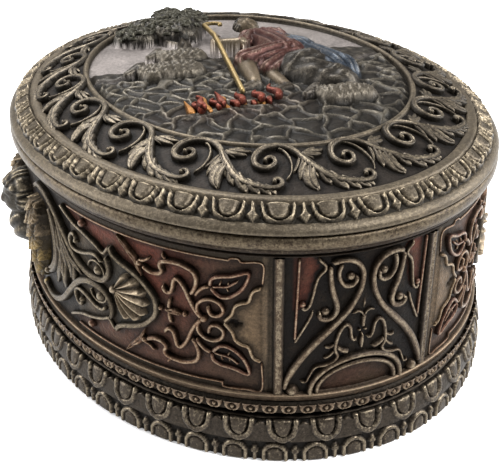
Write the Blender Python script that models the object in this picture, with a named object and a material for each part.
# An oval keepsake box for a rosary, cast hollow in bronze-filled resin: a box body and a lid that
# lifts off.
# The long axis runs along Y, one narrow end looks towards -Y, and the foot stands on Z = 0.
# Every size is in millimetres and becomes metres where a mesh is made.

import math

import bpy
import numpy as np

MM = 0.001

# Outline, measured at the edge where lid and box meet
LENGTH = 130.0
WIDTH = 103.0

# Courses of the box body, from the floor upwards
ARCH_COURSE = 4.4
TONGUE_COURSE = 4.7
FOOT_COVE_COURSE = 1.3
PEARL_COURSE = 2.0
FILLET_COURSE = 1.9
WALL_HEIGHT = 28.2
RIM_COVE_COURSE = 2.2
RIM_COURSE = 2.3

# How far each course stands in from the outline
FOOT_INSET = 0.2
FOOT_NECK_INSET = 2.3
PEARL_INSET = 1.5
WALL_INSET_TOP = 2.3
WALL_INSET_BOTTOM = 3.1
RIM_COVE_INSET = 2.9

# Inside of the box
WALL_THICKNESS = 4.2
FLOOR_THICKNESS = 5.0

# Lid: its edge band, then the egg course, the fillet, the scroll band and the medallion
SEAM_GAP = 0.3
LID_EDGE_HEIGHT = 1.8
LID_EDGE_INSET = 1.3
EGG_COURSE_RISE = 2.2
EGG_COURSE_WIDTH = 3.4
FILLET_WIDTH = 2.2
FILLET_RELIEF = 0.8
SCROLL_RISE = 3.4
MEDALLION_LENGTH = 89.8
MEDALLION_WIDTH = 69.2
MEDALLION_RING_WIDTH = 2.0
MEDALLION_RING_RELIEF = 1.1
MEDALLION_DOME = 0.9
LID_THICKNESS = 4.2

# The lip under the lid drops into the mouth of the box
LIP_CLEARANCE = 0.5
LIP_THICKNESS = 2.4
LIP_DEPTH = 3.2

# Ornament counts and reliefs
EGGS = 45
SCROLLS = 18
EGG_RELIEF = 1.1
SCROLL_RELIEF = 1.3
TONGUE_RELIEF = 1.2
ARCH_RELIEF = 1.0
PEARL_RELIEF = 0.7
WALL_RELIEF = 1.2
PLATE_RELIEF = 0.55
DIVIDER_DISTANCE = 14.9
DIVIDER_WIDTH = 1.9

# The winged head at the middle of each long side
HEAD_RADIUS = 6.4
HEAD_HEIGHT_SHARE = 0.65
HEAD_RELIEF = 5.4
WING_LENGTH = 19.0
WING_RELIEF = 2.8

# Figures on the medallion
FIGURE_RELIEF = 7.4
FIRE_FLAMES = 7

# The free ornament is drawn on boards of these sizes, which are stretched over the place that they fill
SCROLL_BOARD = (16.3, 14.2)
LYRE_BOARD_HALF_WIDTH = 14.0
VINE_BOARD_LENGTH = 74.4
WALL_BOARD_HEIGHT = 28.0
MEDALLION_BOARD = (70.0, 90.0)
STROKE_SPREAD = 0.35
STROKE_STEEPNESS = 1.7
SHELL_HINGE = 32.9
SHELL_REACH = 7.4
SHELL_RIBS = 9

# Points around each ring: fine where the ornament is drawn freely, two for each egg, one for each egg
COLUMNS = 16 * EGGS
COURSE_COLUMNS = 2 * EGGS
PLAIN_COLUMNS = EGGS
BODY_TRIANGLES = 5150
LID_TRIANGLES = 4800

seam_height = (ARCH_COURSE + TONGUE_COURSE + FOOT_COVE_COURSE + PEARL_COURSE + FILLET_COURSE
               + WALL_HEIGHT + RIM_COVE_COURSE + RIM_COURSE)
wall_bottom = ARCH_COURSE + TONGUE_COURSE + FOOT_COVE_COURSE + PEARL_COURSE + FILLET_COURSE
cavity_inset = WALL_INSET_TOP + WALL_THICKNESS


def semi_axes(inset):
    # Half width and half length of the oval that lies this far inside the outline.
    return WIDTH / 2 - inset, LENGTH / 2 - inset


def even_angles():
    # Angles from the -Y end towards +X that cut the outline into equal steps along its length.
    half_width, half_length = semi_axes(0.0)
    fine = np.linspace(0.0, 2 * math.pi, 20001)
    step = np.hypot(half_width * np.cos(fine), half_length * np.sin(fine))
    travelled = np.concatenate([[0.0], np.cumsum((step[1:] + step[:-1]) / 2)])
    travelled /= travelled[-1]
    return np.interp(np.arange(COLUMNS) / COLUMNS, travelled, fine)


angles = even_angles()


def perimeter(inset):
    half_width, half_length = semi_axes(inset)
    closed = np.append(angles, 2 * math.pi)
    x = half_width * np.sin(closed)
    y = half_length * np.cos(closed)
    return float(np.hypot(np.diff(x), np.diff(y)).sum())


def outward():
    # Unit normals of the outline in plan, one per column.
    half_width, half_length = semi_axes(0.0)
    x = half_length * np.sin(angles)
    y = -half_width * np.cos(angles)
    size = np.hypot(x, y)
    return x / size, y / size


def ring(axes, height, columns):
    half_width, half_length = axes
    picked = angles[::COLUMNS // columns]
    return np.stack([half_width * np.sin(picked), -half_length * np.cos(picked),
                     np.full(columns, height)], axis=1)


def rings(profile, columns):
    # One ring of points for each (semi axes, height) pair.
    return [ring(axes, height, columns) for axes, height in profile]


def course(profile, rows, relief, columns):
    # Rows of points along a profile given as (semi axes, height) pairs, pushed out along the profile's
    # normal by relief(share around, share along the profile), in millimetres.
    widths = np.array([axes[0] for axes, height in profile])
    lengths = np.array([axes[1] for axes, height in profile])
    heights = np.array([height for axes, height in profile])
    along = np.concatenate([[0.0], np.cumsum(np.hypot(np.diff(lengths), np.diff(heights)))])
    along /= along[-1]
    normal_x, normal_y = (part[::COLUMNS // columns] for part in outward())
    around = np.arange(columns) / columns
    out = []
    for share in np.linspace(0.0, 1.0, rows):
        axes = (np.interp(share, along, widths), np.interp(share, along, lengths))
        points = ring(axes, np.interp(share, along, heights), columns)
        before, after = max(share - 0.02, 0.0), min(share + 0.02, 1.0)
        run = np.interp(after, along, lengths) - np.interp(before, along, lengths)
        rise = np.interp(after, along, heights) - np.interp(before, along, heights)
        size = math.hypot(run, rise)
        push = relief(around, np.full(columns, share))
        points[:, 0] += push * normal_x * abs(rise) / size
        points[:, 1] += push * normal_y * abs(rise) / size
        points[:, 2] += push * abs(run) / size
        out.append(points)
    return out


def spline(points, steps=8):
    # A smooth curve through the points (Catmull-Rom).
    given = np.array(points, dtype=float)
    padded = np.vstack([2 * given[0] - given[1], given, 2 * given[-1] - given[-2]])
    t = np.linspace(0.0, 1.0, steps, endpoint=False)[:, None]
    pieces = []
    for index in range(len(given) - 1):
        a, b, c, d = padded[index:index + 4]
        pieces.append(0.5 * (2 * b + (c - a) * t + (2 * a - 5 * b + 4 * c - d) * t ** 2
                             + (3 * b - a - 3 * c + d) * t ** 3))
    return np.vstack(pieces + [given[-1:]])


def distance_to(path, x, y):
    # Distance from each point to a polyline.
    start, end = path[:-1], path[1:]
    reach = end - start
    length = np.maximum((reach ** 2).sum(axis=1), 1e-9)
    px = x[:, None] - start[None, :, 0]
    py = y[:, None] - start[None, :, 1]
    share = np.clip((px * reach[None, :, 0] + py * reach[None, :, 1]) / length[None], 0.0, 1.0)
    return np.hypot(px - share * reach[None, :, 0], py - share * reach[None, :, 1]).min(axis=1)


def ridge(distance, half_width, height):
    # A half-round ridge, full height on its line and nothing beyond its half width.
    return height * np.sqrt(np.clip(1.0 - (distance / half_width) ** 2, 0.0, 1.0))


def slope(distance, half_width, height):
    # A ridge with a flat top and sloping sides.
    return height * np.clip(STROKE_STEEPNESS * (1.0 - distance / half_width), 0.0, 1.0)


def strokes(x, y, paths):
    # The highest of several ridges, each given as (points, half width, height).
    height = np.zeros_like(x)
    for points, half_width, top in paths:
        distance = distance_to(spline(points), x, y)
        height = np.maximum(height, slope(distance, half_width + STROKE_SPREAD, top))
    return height


def balls(x, y, places):
    height = np.zeros_like(x)
    for centre_x, centre_y, radius in places:
        height = np.maximum(height, ridge(np.hypot(x - centre_x, y - centre_y), radius, radius))
    return height


def repeat(share_around, count):
    # Where each point lies in its own copy of a pattern, from -0.5 to 0.5.
    return (share_around * count) % 1.0 - 0.5


def egg_relief(around, across):
    # Round-ended eggs with a groove between; across runs from the tips to the fillet.
    u = repeat(around, EGGS)
    reach = np.hypot(u / 0.5, np.maximum(0.55 - across, 0.0) / 0.5)
    return EGG_RELIEF * np.sqrt(np.clip(1.0 - reach ** 2, 0.0, 1.0))


def scroll_relief(around, across):
    # One running scroll per unit: a volute that curls in on itself, and from its crown a leaf that falls
    # to the right with lobes along its lower edge. The middle of the volute is at x = 0, and y runs from
    # the fillet to the medallion.
    board_width, board_height = SCROLL_BOARD
    x = repeat(around, SCROLLS) * board_width
    y = across * board_height
    volute = [(6.1, 11.8), (3.4, 13.4), (-0.9, 13.6), (-3.3, 10.7), (-2.0, 8.0), (1.1, 8.1), (1.5, 10.2),
              (-0.3, 10.4)]
    leaf = [(6.1, 11.8), (9.0, 8.0), (10.9, 5.7), (13.1, 3.9), (15.5, 3.1), (18.4, 3.4)]
    lobes = [[(6.6, 10.6), (5.6, 7.6)], [(7.6, 9.2), (6.2, 5.4)], [(8.8, 7.6), (8.6, 3.0)],
             [(10.4, 5.8), (11.2, 3.7)], [(7.4, 11.3), (12.0, 11.8)]]
    height = np.zeros_like(x)
    for shift in (-board_width, 0.0, board_width):
        stem = distance_to(spline([(px + shift, py) for px, py in volute], 4), x, y)
        blade = distance_to(spline([(px + shift, py) for px, py in leaf], 4), x, y)
        height = np.maximum(height, ridge(stem, 0.95, SCROLL_RELIEF))
        height = np.maximum(height, ridge(blade, 1.5, 0.9 * SCROLL_RELIEF))
        for lobe in lobes:
            reach = distance_to(np.array([(px + shift, py) for px, py in lobe]), x, y)
            height = np.maximum(height, ridge(reach, 0.9, 0.75 * SCROLL_RELIEF))
    fade = np.clip(np.minimum(across, 1.0 - across) / 0.05, 0.0, 1.0)
    return height * fade


def tongue_relief(around, across):
    # Hanging round-ended tongues; across runs from the bottom of the course to its top.
    u = repeat(around, EGGS)
    reach = np.hypot(u / 0.5, np.maximum(0.6 - across, 0.0) / 0.6)
    return TONGUE_RELIEF * np.sqrt(np.clip(1.0 - reach ** 2, 0.0, 1.0))


def arch_relief(around, across):
    # Upright arches, half a step away from the tongues above them, which fade out at the floor.
    u = repeat(around + 0.5 / EGGS, EGGS)
    reach = np.hypot(u / 0.5, np.maximum(across - 0.4, 0.0) / 0.6)
    arch = ARCH_RELIEF * np.sqrt(np.clip(1.0 - reach ** 2, 0.0, 1.0))
    return arch * np.clip(across / 0.25, 0.0, 1.0)


def lyre_relief(x, y):
    # The narrow end, drawn on a board that is the same on both sides of its middle, where x = 0.
    paths = [
        ([(13.4, 0.8), (13.0, 3.3), (12.0, 6.9), (10.0, 10.5), (6.0, 14.4), (3.2, 17.2), (1.6, 20.7),
          (1.2, 23.4), (1.8, 25.9), (3.2, 27.0), (5.1, 26.9), (6.6, 26.2)], 0.95, 1.0),
        ([(6.4, 25.8), (6.2, 23.4), (5.1, 20.4), (4.8, 18.3), (5.4, 16.5), (6.6, 15.6), (7.9, 16.4)],
         0.7, 0.85),
        ([(0.0, 16.5), (0.0, 8.9)], 0.9, 0.75),
    ]
    arch = [(8.4 * math.cos(a), 0.4 + 5.4 * math.sin(a)) for a in np.linspace(0.0, math.pi / 2, 9)]
    height = strokes(x, y, paths + [(arch, 1.0, 0.95)])
    return np.maximum(height, balls(x, y, [(11.0, 1.4, 1.1), (7.3, 17.7, 1.0), (2.4, 23.7, 0.9)]))


def vine_relief(x, y):
    # A long-side panel from the divider at x = 0 to the middle of the side, the same above and below the
    # board's middle line.
    h = abs(y - WALL_BOARD_HEIGHT / 2)
    paths = [
        ([(26.0, 8.5), (22.7, 7.8), (20.9, 8.5), (21.3, 10.3), (18.8, 10.8), (15.9, 10.3), (14.1, 8.1),
          (14.8, 5.2)], 0.55, 0.75),
        ([(20.9, 5.6), (19.9, 4.5), (18.8, 5.6), (19.0, 7.0), (17.9, 7.8), (16.6, 6.3), (15.7, 3.8),
          (14.8, 1.6), (13.4, 0.0)], 0.55, 0.75),
        ([(14.4, 4.5), (11.5, 7.4), (9.0, 9.4), (5.6, 10.2)], 0.9, 0.7),
        ([(14.8, 3.8), (12.3, 4.5), (10.1, 4.5), (9.2, 3.1), (10.2, 1.6)], 0.6, 0.7),
        ([(1.4, 12.6), (1.4, 0.0)], 0.8, 0.6),
        ([(22.7, 0.0), (23.2, 2.2), (24.5, 3.8), (28.2, 6.3), (32.9, 9.6)], 0.6, 0.85),
        ([(47.3, 13.2), (42.2, 11.2), (36.8, 9.4), (34.6, 8.1), (32.9, 9.6)], 0.5, 0.7),
        ([(51.3, 13.5), (47.6, 9.4), (44.8, 5.6), (39.4, 0.9), (36.1, 0.6), (34.3, 1.6), (33.2, 4.5),
          (33.9, 7.0)], 0.8, 1.0),
        ([(56.5, 9.8), (53.0, 6.0), (51.4, 2.6), (51.1, 0.0)], 1.1, 1.1),
    ]
    height = strokes(x, h, paths)
    plate = np.interp(x, [0.0, 3.6, 4.7, 6.5, 7.6, 9.0], [7.2, 6.3, 4.3, 3.4, 1.4, 0.0])
    height = np.maximum(height, np.where((x > 1.9) & (h < plate), PLATE_RELIEF / WALL_RELIEF, 0.0))
    angle = np.arctan2(h, SHELL_HINGE - x)
    reach = np.hypot(h, SHELL_HINGE - x)
    ribs = 0.6 + 0.4 * np.cos(angle * SHELL_RIBS)
    fan = (angle < math.radians(64)) & (reach < SHELL_REACH)
    height = np.maximum(height, np.where(fan, (0.35 + 0.9 * reach / SHELL_REACH) * ribs, 0.0))
    return np.maximum(height, balls(x, h, [(36.8, 3.1, 1.6), (40.8, 12.0, 1.1), (19.8, 0.0, 1.5)]))


def winged_head(distance, height_share, quarter):
    # A head with a round cap of curls at the middle of the long side, and two wings folded down
    # beside it.
    x = quarter - distance
    y = (height_share - HEAD_HEIGHT_SHARE) * WALL_HEIGHT
    skull = ridge(np.hypot(x, y * 0.92), HEAD_RADIUS, HEAD_RELIEF)
    face = ridge(np.hypot(x, (y + 0.75 * HEAD_RADIUS) * 0.9), 0.72 * HEAD_RADIUS, 0.8 * HEAD_RELIEF)
    top = 0.5 * HEAD_RADIUS
    along = np.clip((top - y) / WING_LENGTH, 0.0, 1.0)
    line = 1.45 * HEAD_RADIUS * (1.0 - 0.62 * along ** 1.3)
    width = 0.52 * HEAD_RADIUS * np.sqrt(np.clip(1.05 - along, 0.0, 1.0)) + 0.6
    feathers = 1.0 + 0.16 * np.cos(2 * math.pi * (along * 5.0 + 0.35 * (x - line) / width))
    inside = (top - y > -1.5) & (top - y < WING_LENGTH)
    wing = np.where(inside, ridge(x - line, width, WING_RELIEF) * feathers, 0.0)
    return np.maximum(np.maximum(skull, face), wing)


def wall_relief(around, across):
    # Bars divide the wall into two narrow-end panels and four long-side panels, all mirror copies.
    folded = around % 0.5
    quarter = perimeter(WALL_INSET_TOP) / 4
    distance = np.minimum(folded, 0.5 - folded) * 4 * quarter
    bar = slope(abs(distance - DIVIDER_DISTANCE), DIVIDER_WIDTH / 2, 1.0)
    inner = DIVIDER_DISTANCE - DIVIDER_WIDTH / 2
    outer = DIVIDER_DISTANCE + DIVIDER_WIDTH / 2
    board_y = across * WALL_BOARD_HEIGHT
    lyre_x = distance / inner * LYRE_BOARD_HALF_WIDTH
    vine_x = (distance - outer) / (quarter - outer) * VINE_BOARD_LENGTH
    lyre = np.where(distance < inner, lyre_relief(lyre_x, board_y), 0.0)
    vine = np.where(distance > outer, vine_relief(vine_x, board_y), 0.0)
    height = WALL_RELIEF * np.maximum(np.maximum(lyre, vine), bar)
    fade = np.clip(np.minimum(across, 1.0 - across) / 0.02, 0.0, 1.0)
    return np.maximum(height, winged_head(distance, across, quarter)) * fade


def capsule(x, y, start, end, start_radius, end_radius, lift):
    # Height of a round limb that lies on the field between two points, tapering from one to the other.
    ax, ay = start
    bx, by = end
    length = max((bx - ax) ** 2 + (by - ay) ** 2, 1e-9)
    share = np.clip(((x - ax) * (bx - ax) + (y - ay) * (by - ay)) / length, 0.0, 1.0)
    radius = start_radius + (end_radius - start_radius) * share
    distance = np.hypot(x - ax - share * (bx - ax), y - ay - share * (by - ay))
    inside = np.clip(1.0 - (distance / radius) ** 2, 0.0, 1.0)
    return np.where(inside > 0.0, lift + 0.9 * radius * np.sqrt(inside), 0.0)


def medallion_relief(plan_x, plan_y):
    # A seated shepherd with a crook by a fire, resting sheep and an olive tree. Each limb is
    # (start, end, start radius, end radius, lift), with the board's middle at 0, 0.
    board_width, board_height = MEDALLION_BOARD
    x = plan_x / MEDALLION_WIDTH * board_width
    y = plan_y / MEDALLION_LENGTH * board_height
    shepherd = [
        ((9.5, -1.0), (8.5, 12.5), 6.0, 4.6, 1.0),
        ((7.6, 19.6), (7.8, 20.6), 3.3, 3.3, 3.0),
        ((9.5, -2.5), (-1.0, -3.5), 4.4, 3.3, 1.6),
        ((-1.0, -3.5), (-2.0, -14.0), 3.0, 2.2, 1.2),
        ((7.0, 13.0), (-2.4, 7.5), 2.3, 1.5, 2.8),
        ((12.5, 12.0), (17.5, -13.0), 4.0, 6.2, 0.4),
        ((10.0, -8.0), (14.0, -16.0), 6.0, 5.0, 0.2),
        ((-6.2, -17.0), (-1.4, 27.0), 0.8, 0.8, 1.6),
        ((-1.4, 27.0), (2.4, 28.6), 0.8, 0.8, 1.6),
    ]
    flock = [
        ((-21.0, 0.5), (-13.0, 0.0), 4.6, 4.8, 0.4),
        ((-24.6, 3.6), (-25.4, 2.0), 2.1, 1.7, 1.2),
        ((-15.5, 8.5), (-9.5, 8.5), 3.6, 3.7, 0.2),
        ((17.5, -25.0), (9.5, -26.0), 3.8, 4.0, 0.4),
        ((5.4, -22.4), (4.2, -23.6), 2.0, 1.6, 1.4),
    ]
    tree = [
        ((-10.0, 10.0), (-7.5, 24.0), 2.3, 1.7, 1.0),
        ((-7.5, 24.0), (-15.5, 33.0), 5.0, 4.5, 1.2),
        ((-7.5, 24.0), (-1.5, 36.0), 4.2, 4.8, 1.6),
        ((-7.5, 31.0), (-7.5, 37.0), 4.6, 4.4, 2.2),
        ((-17.0, 26.0), (-20.5, 29.5), 4.0, 3.6, 0.8),
    ]
    height = np.zeros_like(x)
    for start, end, start_radius, end_radius, lift in shepherd + flock + tree:
        height = np.maximum(height, capsule(x, y, start, end, start_radius, end_radius, lift))
    for index in range(FIRE_FLAMES):
        foot = -20.5 + 2.1 * index
        tall = 9.0 + 3.0 * math.cos(index * 2.2)
        flame = capsule(x, y, (foot, -24.0), (foot + 0.8, -24.0 + tall), 1.7, 0.5, 1.2)
        height = np.maximum(height, flame)
    rocks = np.cos(x * 0.55 + 0.8 * np.sin(y * 0.35)) * np.cos(y * 0.5 + 0.6 * np.sin(x * 0.4))
    rocks = 1.0 + 0.5 * rocks
    horizon = -3.0 + 2.5 * np.sin(x * 0.16 + 0.8)
    ground = rocks * np.clip((horizon - y) / 3.0, 0.0, 1.0)
    height = np.maximum(height, ground)
    edge = np.clip((1.0 - 2.0 * np.hypot(x / board_width, y / board_height)) / 0.05, 0.0, 1.0)
    return np.minimum(height, FIGURE_RELIEF) * edge


def middle(first, second):
    return (first[0] + second[0]) / 2, (first[1] + second[1]) / 2


def lid_ovals():
    # Semi axes at the boundaries between the lid's courses, from its lower edge inwards.
    edge = semi_axes(0.0)
    egg_tip = semi_axes(LID_EDGE_INSET)
    egg_root = semi_axes(LID_EDGE_INSET + EGG_COURSE_WIDTH)
    fillet = semi_axes(LID_EDGE_INSET + EGG_COURSE_WIDTH + FILLET_WIDTH)
    outer, inner = MEDALLION_RING_WIDTH / 2, -MEDALLION_RING_WIDTH / 2
    ring_out = (MEDALLION_WIDTH / 2 + outer, MEDALLION_LENGTH / 2 + outer)
    ring_in = (MEDALLION_WIDTH / 2 + inner, MEDALLION_LENGTH / 2 + inner)
    return edge, egg_tip, egg_root, fillet, ring_out, ring_in


def lid_rows():
    edge, egg_tip, egg_root, fillet, ring_out, ring_in = lid_ovals()
    low = seam_height + SEAM_GAP
    tip_height = low + LID_EDGE_HEIGHT
    root_height = tip_height + EGG_COURSE_RISE
    band_height = root_height + SCROLL_RISE

    lip_out = semi_axes(cavity_inset + LIP_CLEARANCE)
    lip_in = semi_axes(cavity_inset + LIP_CLEARANCE + LIP_THICKNESS)
    under_low = root_height - LID_THICKNESS
    under_high = band_height - LID_THICKNESS
    crown = (lip_in[0] - (fillet[0] - ring_out[0]), lip_in[1] - (fillet[1] - ring_out[1]))
    rows = rings([(crown, under_high), (lip_in, under_low), (lip_in, low - LIP_DEPTH),
                  (lip_out, low - LIP_DEPTH), (lip_out, low)], PLAIN_COLUMNS)
    soft_edge = semi_axes(0.2 * LID_EDGE_INSET)
    rows += rings([(edge, low), (soft_edge, low + 0.6 * LID_EDGE_HEIGHT)], COURSE_COLUMNS)
    rows += course([(egg_tip, tip_height), (egg_root, root_height)], 4, egg_relief, COURSE_COLUMNS)
    rows += rings([(middle(egg_root, fillet), root_height + FILLET_RELIEF)], COURSE_COLUMNS)
    rows += course([(fillet, root_height), (ring_out, band_height)], 25, scroll_relief, COLUMNS)
    rows += rings([(middle(ring_out, ring_in), band_height + MEDALLION_RING_RELIEF)], COLUMNS)
    for share in np.linspace(1.0, 0.0, 60)[:-1]:
        points = ring((ring_in[0] * share, ring_in[1] * share),
                      band_height + MEDALLION_DOME * (1.0 - share ** 2), COLUMNS)
        points[:, 2] += medallion_relief(points[:, 0], points[:, 1])
        rows.append(points)
    centre = medallion_relief(np.zeros(1), np.zeros(1))[0]
    return rows, under_high, band_height + MEDALLION_DOME + float(centre)


def body_rows():
    tongue_high = ARCH_COURSE + TONGUE_COURSE
    pearl_low = tongue_high + FOOT_COVE_COURSE
    pearl_high = pearl_low + PEARL_COURSE
    wall_top = wall_bottom + WALL_HEIGHT
    rim_low = wall_top + RIM_COVE_COURSE
    foot = semi_axes(FOOT_INSET + ARCH_RELIEF)
    waist = semi_axes(FOOT_INSET + TONGUE_RELIEF)
    neck = semi_axes(FOOT_NECK_INSET)
    pearl = semi_axes(PEARL_INSET + PEARL_RELIEF)
    fillet = semi_axes(PEARL_INSET)
    wall_low, wall_high = semi_axes(WALL_INSET_BOTTOM), semi_axes(WALL_INSET_TOP)
    cove = semi_axes(RIM_COVE_INSET)
    edge = semi_axes(0.0)
    soft_edge = semi_axes(0.3)
    mouth = semi_axes(cavity_inset)
    rows = course([(foot, 0.0), (waist, ARCH_COURSE)], 4, arch_relief, COURSE_COLUMNS)
    rows += course([(waist, ARCH_COURSE), (neck, tongue_high)], 4, tongue_relief, COURSE_COLUMNS)[1:]
    rows += rings([(pearl, pearl_low), (fillet, (pearl_low + pearl_high) / 2), (pearl, pearl_high),
                   (fillet, pearl_high + 0.6 * FILLET_COURSE)], COURSE_COLUMNS)
    rows += course([(wall_low, wall_bottom), (wall_high, wall_top)], 61, wall_relief, COLUMNS)
    rows += rings([(cove, wall_top + 0.3 * RIM_COVE_COURSE), (soft_edge, rim_low),
                   (edge, rim_low + 0.5 * RIM_COURSE), (soft_edge, seam_height)], COURSE_COLUMNS)
    rows += rings([(mouth, seam_height), (mouth, FLOOR_THICKNESS)], PLAIN_COLUMNS)
    return rows, 0.0, FLOOR_THICKNESS


def bridge(low, low_count, high, high_count):
    # Faces between two rings whose first points have the numbers low and high. Where one ring has more
    # points than the other, each wide step of the coarse ring takes a fan of the fine ring's steps.
    faces = []
    if low_count == high_count:
        for a in range(low_count):
            b = (a + 1) % low_count
            faces.append((low + a, low + b, high + b, high + a))
        return faces
    steps = max(low_count, high_count) // min(low_count, high_count)
    for a in range(min(low_count, high_count)):
        b = (a + 1) % min(low_count, high_count)
        fine = [(a * steps + step) % max(low_count, high_count) for step in range(steps + 1)]
        for index, (first, second) in enumerate(zip(fine[:-1], fine[1:])):
            if low_count > high_count:
                faces.append((low + first, low + second, high + (a if index < steps // 2 + 1 else b)))
            else:
                faces.append((low + (a if index < steps // 2 + 1 else b), high + second, high + first))
        split = fine[steps // 2 + 1]
        if low_count > high_count:
            faces.append((low + split, high + b, high + a))
        else:
            faces.append((low + a, low + b, high + split))
    return faces


def closed_mesh(name, rows, first_centre, last_centre):
    # Joins the rings of points into one closed skin, with a point at the middle of each end.
    points = np.concatenate([[[0.0, 0.0, first_centre]]] + rows + [[[0.0, 0.0, last_centre]]]) * MM
    starts = [1]
    for row in rows:
        starts.append(starts[-1] + len(row))
    faces = [(0, starts[0] + (a + 1) % len(rows[0]), starts[0] + a) for a in range(len(rows[0]))]
    for index in range(len(rows) - 1):
        faces += bridge(starts[index], len(rows[index]), starts[index + 1], len(rows[index + 1]))
    last = starts[-1]
    faces += [(starts[-2] + a, starts[-2] + (a + 1) % len(rows[-1]), last) for a in range(len(rows[-1]))]
    mesh = bpy.data.meshes.new(name)
    mesh.from_pydata(points.tolist(), [], faces)
    mesh.shade_smooth()
    ornament = [number for start, row in zip(starts, rows) if len(row) == COLUMNS
                for number in range(start, start + len(row))]
    return mesh, ornament


def bronze(name, colour, roughness):
    material = bpy.data.materials.new(name)
    material.use_nodes = True
    shader = material.node_tree.nodes["Principled BSDF"]
    shader.inputs["Base Color"].default_value = (*colour, 1.0)
    shader.inputs["Roughness"].default_value = roughness
    shader.inputs["Metallic"].default_value = 0.8
    return material


def add_piece(name, rows, first_centre, last_centre, triangles, material):
    # The ornament is modelled finely and thinned out; the plain surfaces keep the facets they have.
    mesh, ornament = closed_mesh(name, rows, first_centre, last_centre)
    mesh.materials.append(material)
    piece = bpy.data.objects.new(name, mesh)
    bpy.context.scene.collection.objects.link(piece)
    piece.vertex_groups.new(name="ornament").add(ornament, 1.0, "REPLACE")
    thin = piece.modifiers.new("Fewer facets", "DECIMATE")
    thin.vertex_group = "ornament"
    thin.vertex_group_factor = 1000.0
    thin.ratio = triangles / sum(len(polygon.vertices) - 2 for polygon in mesh.polygons)
    return piece


def main():
    for old in list(bpy.data.objects):
        bpy.data.objects.remove(old)
    body_bronze = bronze("body_bronze", (0.16, 0.12, 0.09), 0.45)
    lid_bronze = bronze("lid_bronze", (0.17, 0.14, 0.11), 0.42)
    rows, first_centre, last_centre = body_rows()
    add_piece("box_body", rows, first_centre, last_centre, BODY_TRIANGLES, body_bronze)
    rows, first_centre, last_centre = lid_rows()
    add_piece("lid", rows, first_centre, last_centre, LID_TRIANGLES, lid_bronze)


main()
